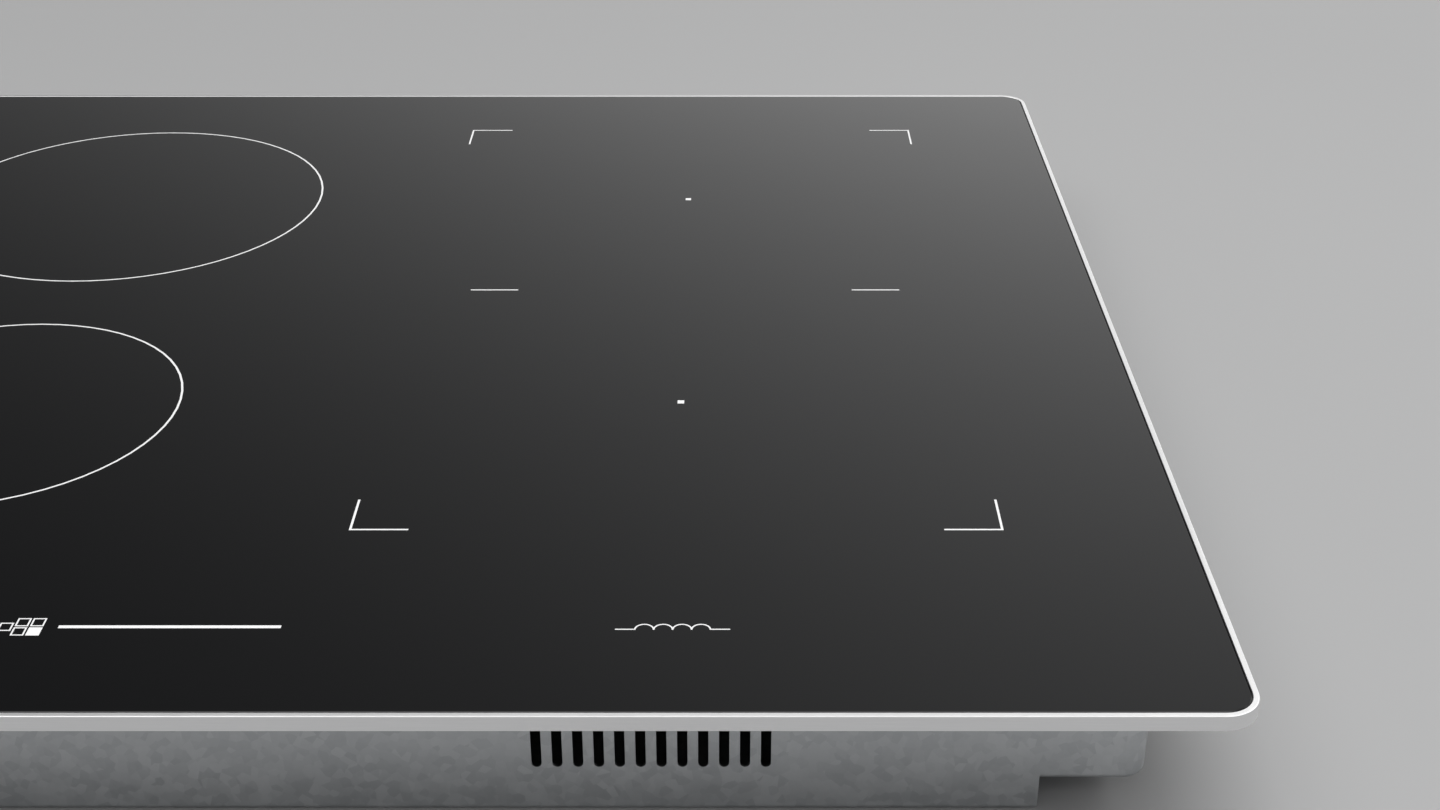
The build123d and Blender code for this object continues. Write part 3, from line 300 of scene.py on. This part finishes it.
# %% Trim steel
TRIM_AND_CORNER = 13 * MM
SCRATCHES = 4200
DRAWN_OUT = 0.012  # the noise's scale along a scratch, as a share of its scale across
SCRATCH_DEPTH = 3 * MICRON
WORN_PATCHES = 35

steel = Finish("satin_stainless", (0.88, 0.88, 0.882), 0.22, metallic=1.0)
side = abs(steel.axis("X")) > (hob_high.x - TRIM_AND_CORNER)
across_front = steel.noise(SCRATCHES, detail=3, stretch=(DRAWN_OUT, 1, 1))
along_side = steel.noise(SCRATCHES, detail=3, stretch=(1, DRAWN_OUT, 1))
streak = across_front * (1 - side) + along_side * side
wear = steel.noise(WORN_PATCHES, detail=4)
steel.set(Base_Color=steel.blend(streak, (0.84, 0.84, 0.842), (0.94, 0.94, 0.94)))
steel.set(Roughness=0.22 + 0.12 * streak + 0.06 * wear)
steel.bump(streak, SCRATCH_DEPTH)
keep("trim_steel", steel)

# %% [markdown]
# ## Fired enamel
#
# The zone rings and slider lines are ceramic ink, screen-printed and fired into the glass. The screen
# leaves the ink a little uneven, so the grey is broken by a fine speckle and stays less shiny than the
# glass round it.

# %% Enamel printing
SCREEN_SPECKLES = 2600

ink = Finish("fired_enamel", (0.7, 0.7, 0.7), 0.42)
speckle = ink.noise(SCREEN_SPECKLES)
ink.set(Base_Color=ink.blend(speckle, (0.62, 0.62, 0.625), (0.78, 0.78, 0.78)))
ink.set(Roughness=0.36 + 0.12 * speckle)
keep("white_print", ink)

# %% [markdown]
# ## Galvanised sheet
#
# The case and the support frame are bent from galvanised sheet. Zinc freezes in crystals, and on thin
# modern sheet they are a few millimetres across and faint. Voronoi cells are the natural stand-in: a
# random shade for each cell sets how bright and how rough that crystal is, fine noise adds feathering
# inside it, and slow noise the dull patches that handling leaves.

# %% Galvanised steel
CRYSTALS = 330
FEATHERS = 520
DULL_PATCHES = 25
ZINC_DEPTH = 6 * MICRON


def shade_of_cell(finish, scale, stretch=(1, 1, 1)):
    """One number for each Voronoi cell, spread evenly from 0 to 1."""
    colour = finish.cells(scale, out="Color", stretch=stretch)
    return finish.node("ShaderNodeSeparateColor", out="Red", Color=colour)


zinc = Finish("galvanised_sheet", (0.6, 0.62, 0.64), 0.4, metallic=1.0)
spangle = shade_of_cell(zinc, CRYSTALS)
feather = zinc.noise(FEATHERS, detail=3, stretch=(1, 0.3, 1))
dulled = zinc.noise(DULL_PATCHES, detail=4)
shine = 0.5 * spangle + 0.25 * feather + 0.25 * dulled
zinc.set(Base_Color=zinc.blend(shine, (0.49, 0.51, 0.525), (0.68, 0.695, 0.705)))
zinc.set(Roughness=0.30 + 0.2 * shine)
zinc.bump(feather * 0.6 + spangle * 0.4, ZINC_DEPTH)
keep("galvanised", zinc)

# %% [markdown]
# ## The smaller metals
#
# Screws, clamps, posts and springs are zinc-plated or drawn steel, the plates are rolled aluminium and
# the heatsinks extruded. They differ in tint, in how rough they are and in which way their fine lines
# run, so one function with those three choices serves them all.

# %% Plated, rolled and drawn metals
GRAIN_DEPTH = 8 * MICRON
METAL_CLOUDS = 28


def plain_metal(name, dark, light, roughness, lines=(1, 1, 1), line_scale=1800):
    """Metal with fine lines drawn out along one axis, or with an even grain."""
    metal = Finish(name, light, roughness, metallic=1.0)
    grain = metal.noise(line_scale, detail=3, stretch=lines)
    cloud = metal.noise(METAL_CLOUDS, detail=4)
    metal.set(Base_Color=metal.blend(0.6 * grain + 0.4 * cloud, dark, light))
    metal.set(Roughness=roughness - 0.05 + 0.12 * grain + 0.08 * cloud)
    metal.bump(grain, GRAIN_DEPTH)
    return metal


keep("zinc_hardware", plain_metal("bright_zinc", (0.60, 0.60, 0.59), (0.90, 0.89, 0.86), 0.24))
keep("aluminium_sheet", plain_metal(
    "rolled_aluminium", (0.66, 0.67, 0.68), (0.84, 0.85, 0.86), 0.36, lines=(0.02, 1, 1)
))
keep("heatsink_alloy", plain_metal(
    "extruded_alloy", (0.58, 0.59, 0.60), (0.78, 0.79, 0.80), 0.4, lines=(0.015, 1, 1)
))
keep("spring_steel", plain_metal(
    "spring_wire", (0.36, 0.36, 0.37), (0.60, 0.61, 0.62), 0.28, lines=(1, 1, 0.1), line_scale=3000
))

# %% [markdown]
# ## Mouldings
#
# Moulded parts carry the texture of the mould: a fine spark-eroded grain. Their colour hardly varies,
# but the grain breaks up the highlight. Plastic, rubber, silicone and unglazed ceramic are all moulded,
# so they are rows of one table: name, colour, roughness, grains to the metre, depth, and how much the
# colour strays.

# %% Plastics, rubber and ceramic
PLASTIC_CLOUDS = 22


def moulding(name, colour, roughness, grain=1500, depth=30 * MICRON, fleck=0.12):
    """A moulded finish whose grain shows in its colour, its gloss and its relief."""
    plastic = Finish(name, colour, roughness)
    texture = plastic.noise(grain, detail=3)
    cloud = plastic.noise(PLASTIC_CLOUDS, detail=3)
    low = tuple(c * (1 - fleck) for c in colour)
    high = tuple(min(1.0, c * (1 + fleck)) for c in colour)
    plastic.set(Base_Color=plastic.blend(0.5 * texture + 0.5 * cloud, low, high))
    plastic.set(Roughness=roughness - 0.06 + 0.14 * texture)
    plastic.bump(texture, depth)
    return plastic


FINE, MIDDLING, COARSE = 20 * MICRON, 40 * MICRON, 50 * MICRON
MOULDINGS = {
    "silicone": ("cured_silicone", (0.02, 0.02, 0.021), 0.38, 400, FINE),
    "former_plastic": ("glass_filled_moulding", (0.56, 0.53, 0.45), 0.55, 900, MIDDLING, 0.2),
    "sensor_ceramic": ("unglazed_ceramic", (0.60, 0.57, 0.51), 0.7, 2400, FINE),
    "component_plastic": ("component_cases", (0.03, 0.03, 0.036), 0.42, 1800, FINE, 0.3),
    "fan_plastic": ("fan_moulding", (0.018, 0.018, 0.019), 0.45),
    "rotor_plastic": ("rotor_moulding", (0.05, 0.05, 0.055), 0.4),
    "carrier_plastic": ("carrier_moulding", (0.62, 0.62, 0.60), 0.5),
    "pad_rubber": ("pad_rubber", (0.03, 0.03, 0.03), 0.75, 900, COARSE),
    "terminal_plastic": ("terminal_moulding", (0.022, 0.022, 0.024), 0.48, 1200, MIDDLING),
    "gland_plastic": ("gland_nylon", (0.028, 0.028, 0.03), 0.42, 1600, FINE),
    "wire_insulation": ("silicone_insulation", (0.42, 0.03, 0.02), 0.5, 300, FINE),
}
for slot, row in MOULDINGS.items():
    keep(slot, moulding(*row))

# %% [markdown]
# ## Foam
#
# The seal between trim and worktop is cut from black closed-cell foam. A cut face is a field of opened
# bubbles, which is what the distance inside Voronoi cells looks like. The distance gives each bubble a
# real hollow, and the colour is painted darker towards its middle as shade in that hollow.

# %% Foam
BUBBLES = 2200
BUBBLE_DEPTH = 150 * MICRON

foam = Finish("closed_cell_foam", (0.02, 0.02, 0.02), 0.9)
bubbles_and_painted_shade = foam.cells(BUBBLES)
# painted shade: the colour is darker towards the middle of each bubble
foam.set(Base_Color=foam.blend(bubbles_and_painted_shade, (0.008, 0.008, 0.008), (0.045, 0.045, 0.045)))
foam.set(Roughness=0.85 + 0.12 * bubbles_and_painted_shade)
foam.bump(bubbles_and_painted_shade, BUBBLE_DEPTH)
keep("foam", foam)

# %% [markdown]
# ## Litz wire
#
# Nobody sees the coils unless the glass comes off, but a part that is opened up should still be right.
# Litz wire is a rope of hair-thin enamelled wires. Modelling each of them would cost millions of
# faces, so the copper is crossed by slanting bright and dark lines instead: a painted sheen along each
# wire and painted shade between them. The same lines also lift the surface a little.

# %% Litz wire
STRANDS = 520
STRAND_DEPTH = 120 * MICRON

litz = Finish("enamelled_litz", (0.62, 0.30, 0.14), 0.35, metallic=1.0)
strand_relief_and_painted_sheen = litz.node(
    "ShaderNodeTexWave", {"bands_direction": "DIAGONAL"}, out="Fac",
    Vector=litz.place, Scale=STRANDS, Distortion=1.5, Detail=1.0,
)
# painted sheen and shade: bright copper along each wire line, dark copper between them
litz.set(Base_Color=litz.blend(strand_relief_and_painted_sheen, (0.36, 0.14, 0.06), (0.80, 0.42, 0.22)))
litz.set(Roughness=0.28 + 0.2 * strand_relief_and_painted_sheen)
litz.bump(strand_relief_and_painted_sheen, STRAND_DEPTH)
keep("copper_litz", litz)

# %% [markdown]
# ## Ferrite and felt
#
# The ferrite bars under a coil are pressed and sintered powder, dark grey with a fine glitter. The heat
# mat on top of it is ceramic felt, whose hairs lie mostly one way: noise that is drawn out and very
# rough gives them.

# %% Ferrite and ceramic felt
POWDER_GRAINS = 1900
POWDER_DEPTH = 40 * MICRON
HAIRS = 700
HAIR_DEPTH = 300 * MICRON

ferrite = Finish("sintered_ferrite", (0.035, 0.035, 0.038), 0.6)
powder = ferrite.noise(POWDER_GRAINS, detail=4)
ferrite.set(Base_Color=ferrite.blend(powder, (0.02, 0.02, 0.022), (0.075, 0.075, 0.08)))
ferrite.set(Roughness=0.5 + 0.25 * powder)
ferrite.bump(powder, POWDER_DEPTH)
keep("ferrite", ferrite)

felt = Finish("ceramic_felt", (0.82, 0.81, 0.78), 0.95)
hair = felt.noise(HAIRS, detail=6, stretch=(1, 0.35, 1), rough=0.7)
felt.set(Base_Color=felt.blend(hair, (0.44, 0.43, 0.40), (0.72, 0.71, 0.68)))
felt.bump(hair, HAIR_DEPTH)
keep("fibre_mat", felt)

# %% [markdown]
# ## Circuit boards
#
# A board is green lacquer over copper tracks, which show as slightly raised paler lines. Tracks run in
# bundles, one way in some patches and across in others, so large Voronoi cells choose the direction of
# the stripes. The middles of small cells are dots of solder. Both are flattened in Z, so that the
# pattern is the same all through the board's thickness.

# %% Circuit board
TRACK_PITCH = 2.2 * MM
TRACK_DEPTH = 40 * MICRON
BUNDLES = 55
DOTS = 230
DOT_EDGE = (0.17, 0.13)  # from a cell's middle: bare lacquer outside, solder inside
FLAT = (1, 1, 0.01)

board = Finish("circuit_board", (0.01, 0.10, 0.045), 0.35, Coat_Weight=0.4)


def tracks(letter):
    """Even tracks across one axis of the board: 1 on a track and 0 between two."""
    return board.sum("FRACT", board.axis(letter) * (1 / TRACK_PITCH)) > 0.5


turned = shade_of_cell(board, BUNDLES, stretch=FLAT) > 0.5
track = tracks("X") * turned + tracks("Y") * (1 - turned)
solder = board.between(board.cells(DOTS, stretch=FLAT), *DOT_EDGE)
lacquer = board.blend(track, (0.006, 0.07, 0.03), (0.016, 0.15, 0.065))
board.set(Base_Color=board.blend(solder, lacquer, (0.72, 0.72, 0.70)), Metallic=solder)
board.set(Roughness=0.3 + 0.1 * track)
board.bump(track, TRACK_DEPTH)
keep("circuit_board", board)

# %% [markdown]
# ## Giving every piece its finish
#
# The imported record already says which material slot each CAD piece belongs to. So it is enough to hand
# each finish to all the pieces that name its slot.

# %% Assign the finishes
slot_of = {part["node"]: part["material_slot"] for part in frame["record"]["subparts"]}
for name, node in nodes.items():
    node.data.materials.clear()
    node.data.materials.append(finishes[slot_of[name]].material)
print(len(nodes), "pieces share", len(finishes), "finishes")

# %% [markdown]
# ## Springs wound as meshes
#
# The coil modules float on small springs, and a module pushed down by 3 mm would leave a rigid spring
# sticking through its plate. Each set of springs is wound again here as a mesh, which stands still and
# does not follow a module down. First we find where they stand: a CAD node holds one set, and its
# vertices gather round the middle of each spring.

# %% Find the springs
WIRE = 1.0 * MM
COIL_RADIUS = 4.5 * MM
SAME_SPRING = 4 * COIL_RADIUS


def spring_centres(node_name):
    """The middle, in plan, of each separate spring in a CAD node."""
    found = []
    for vertex in nodes[node_name].data.vertices:
        x, y = vertex.co.x, vertex.co.y
        near = [c for c in found if math.hypot(c[0] / c[2] - x, c[1] / c[2] - y) < SAME_SPRING]
        if near:
            near[0][0] += x
            near[0][1] += y
            near[0][2] += 1
        else:
            found.append([x, y, 1])
    return [(x / count, y / count) for x, y, count in found]


MODULES = ("large_coil", "rear_coil", "front_coil", "bridge_coil")
print("springs:", {module: len(spring_centres(f"{module}_springs")) for module in MODULES})

# %% [markdown]
# ## Winding one
#
# A compression spring ends in half a turn that lies level, so that it stands square on its plate. The
# wire's path is a helix whose rise waits for that half turn at either end, and a ring of vertices goes
# round each point of the path.

# %% Wind a spring
TURNS = 3
LEVEL_TURN = 0.5
SEGMENTS = 28
WIRE_SIDES = 10


def wind_spring(x, y, low, high):
    """The vertices and faces of one spring that stands at x, y between two heights."""
    vertices = []
    faces = []
    steps = TURNS * SEGMENTS
    rise = high - low - WIRE
    for i in range(steps + 1):
        turn = i / SEGMENTS
        share = min(max((turn - LEVEL_TURN) / (TURNS - 2 * LEVEL_TURN), 0), 1)
        angle = 2 * math.pi * turn
        centre_z = low + WIRE / 2 + rise * share
        for k in range(WIRE_SIDES):
            around = 2 * math.pi * k / WIRE_SIDES
            radius = COIL_RADIUS + WIRE / 2 * math.cos(around)
            height = centre_z + WIRE / 2 * math.sin(around)
            vertices.append((x + radius * math.cos(angle), y + radius * math.sin(angle), height))
    for i in range(steps):
        for k in range(WIRE_SIDES):
            a = i * WIRE_SIDES + k
            b = i * WIRE_SIDES + (k + 1) % WIRE_SIDES
            faces.append((a, b, b + WIRE_SIDES, a + WIRE_SIDES))
    faces.append(tuple(range(WIRE_SIDES))[::-1])
    faces.append(tuple(range(steps * WIRE_SIDES, (steps + 1) * WIRE_SIDES)))
    return vertices, faces


print("one spring has", len(wind_spring(0, 0, 0, COIL_RADIUS)[1]), "faces")

# %% [markdown]
# ## Putting the springs in
#
# Each set becomes one piece that stands between the lowest and the highest point of its CAD node, which
# is hidden in its place.

# %% Replace each set
for module in MODULES:
    node_name = f"{module}_springs"
    low, high = (corner.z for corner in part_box(node_name))
    vertices = []
    faces = []
    for x, y in spring_centres(node_name):
        more, sides = wind_spring(x, y, low, high)
        faces += [tuple(v + len(vertices) for v in side) for side in sides]
        vertices += more
    mesh = bpy.data.meshes.new(f"{module}_spring_set")
    mesh.from_pydata(vertices, [], faces)
    mesh.shade_smooth()
    mesh.materials.append(finishes["spring_steel"].material)
    springs = bpy.data.objects.new(f"{module}_spring_set", mesh)
    bpy.context.scene.collection.objects.link(springs)
    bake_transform(springs)
    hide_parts(node_name)
    print(springs.name, "has", len(vertices), "vertices")

# %% [markdown]
# ## Floor
#
# The hob stands on a plain pale floor. It is kept a middling grey, so that the bright line of the trim
# still stands out against it, and it has hardly any texture, because nothing on it should draw the eye.
# It is far larger than the hob, so that its edge stays out of sight from any side.

# %% Floor
FLOOR_SIZE = 60
FLOOR_PATCHES = 3

bpy.ops.mesh.primitive_plane_add(size=FLOOR_SIZE, location=(0, 0, hob_low.z))
floor = bpy.context.object
floor.name = "floor"
paint = Finish("pale_floor", (0.3, 0.3, 0.302), 0.6)
paint.set(Roughness=0.55 + 0.1 * paint.noise(FLOOR_PATCHES))
floor.data.materials.append(paint.material)
print("floor at", round(hob_low.z, 4))

# %% [markdown]
# ## The room
#
# Polished black glass is a mirror, so its look is the look of the room. The walls are one pale grey,
# close to the floor's, so that floor and wall run together behind the hob. Into them goes a wide window
# at the back, brightest low down on the right. Light that falls off evenly loses the same share with
# each step, which is an exponential: we add up how far a direction is to the side and how high, and
# raise e to that sum. Each edge is a pair of numbers between which the light changes over, along a
# direction whose length is 1. Written as a world, none of this puts a lamp's outline in the glass.

# %% Walls and window
WALLS = 0.43
WINDOW_LIMIT = 1.9
MIDDLE_OF_WINDOW = 1.11
MORE_TO_THE_RIGHT = 1.87
LESS_WITH_HEIGHT = 4.0
LESS_TO_EITHER_SIDE = 4.7
MORE_HIGH_RIGHT = 2.24
BACK_OF_ROOM = (-0.1, 0.3)
SILL = (0.13, 0.25)
JAMBS = (0.85, 0.6)

world = bpy.data.worlds.new("soft_room")
world.use_nodes = True
bpy.context.scene.world = world

room = Patterns(world.node_tree, "Background", "Generated")
sideways, backward, upward = room.axis("X"), room.axis("Y"), room.axis("Z")
fade = (
    MIDDLE_OF_WINDOW + MORE_TO_THE_RIGHT * sideways - LESS_WITH_HEIGHT * upward
    - LESS_TO_EITHER_SIDE * sideways * sideways + MORE_HIGH_RIGHT * sideways * upward
)
window = room.sum("MINIMUM", room.sum("EXPONENT", fade), WINDOW_LIMIT)
behind = room.between(backward, *BACK_OF_ROOM)
above_sill = room.between(upward, *SILL)
between_jambs = room.between(abs(sideways), *JAMBS)
in_window = behind * above_sill * between_jambs
walls = window * in_window + WALLS * (1 - in_window)
print("window and walls:", len(world.node_tree.nodes), "nodes")

# %% [markdown]
# ## The lights overhead
#
# The enamel, the floor and the trim need more light than the walls give. A bright panel stands to the
# back right, where the rounded trim mirrors it and the flat glass doesn't, and a soft box fills the
# ceiling. Straight above, the ceiling is dark again, so that the glass is still black to someone who
# looks down on it.

# %% Side panel and ceiling
SIDE_PANEL = 1.9
SOFT_BOX = 1.8
ZENITH = 0.5
PANEL_SIDE = (0.27, 0.42)
PANEL_FOOT = (0.3, 0.42)
SOFT_BOX_EDGE = (0.63, 0.73)
ZENITH_EDGE = (0.86, 0.97)

beside = behind * room.between(sideways, *PANEL_SIDE) * room.between(upward, *PANEL_FOOT)
overhead = room.between(upward, *SOFT_BOX_EDGE)
zenith = room.between(upward, *ZENITH_EDGE)
walls = walls * (1 - beside) + SIDE_PANEL * beside
ceiling = SOFT_BOX * (1 - zenith) + ZENITH * zenith
room.set(Color=(1.0, 1.0, 1.0), Strength=walls * (1 - overhead) + ceiling * overhead)
print("the whole room:", len(world.node_tree.nodes), "nodes")

# %% [markdown]
# ## One lamp, and how light becomes colour
#
# A world alone gives no direction to the shadow, so one large area lamp hangs to the right. It is left
# out of mirror images, or its rectangle would lie in the glass. Blender's usual view, AgX, squeezes
# bright light to keep its colour, and turns a white line on black glass grey. There is no strong colour
# here, so the plain Standard view suits this object: white stays white.

# %% Lamp and view
LAMP_WIDTH = 1.6
LAMP_DEPTH = 1.0
LAMP_WATTS = 25
LAMP_PLACE = (0.5, -0.3, 2.2)

lamp_data = bpy.data.lights.new("overhead", "AREA")
lamp_data.shape = "RECTANGLE"
lamp_data.size = LAMP_WIDTH
lamp_data.size_y = LAMP_DEPTH
lamp_data.energy = LAMP_WATTS
lamp = bpy.data.objects.new("overhead", lamp_data)
lamp.location = LAMP_PLACE
lamp.visible_glossy = False
bpy.context.scene.collection.objects.link(lamp)
bpy.context.scene.view_settings.view_transform = "Standard"
print("lamp at", LAMP_PLACE)
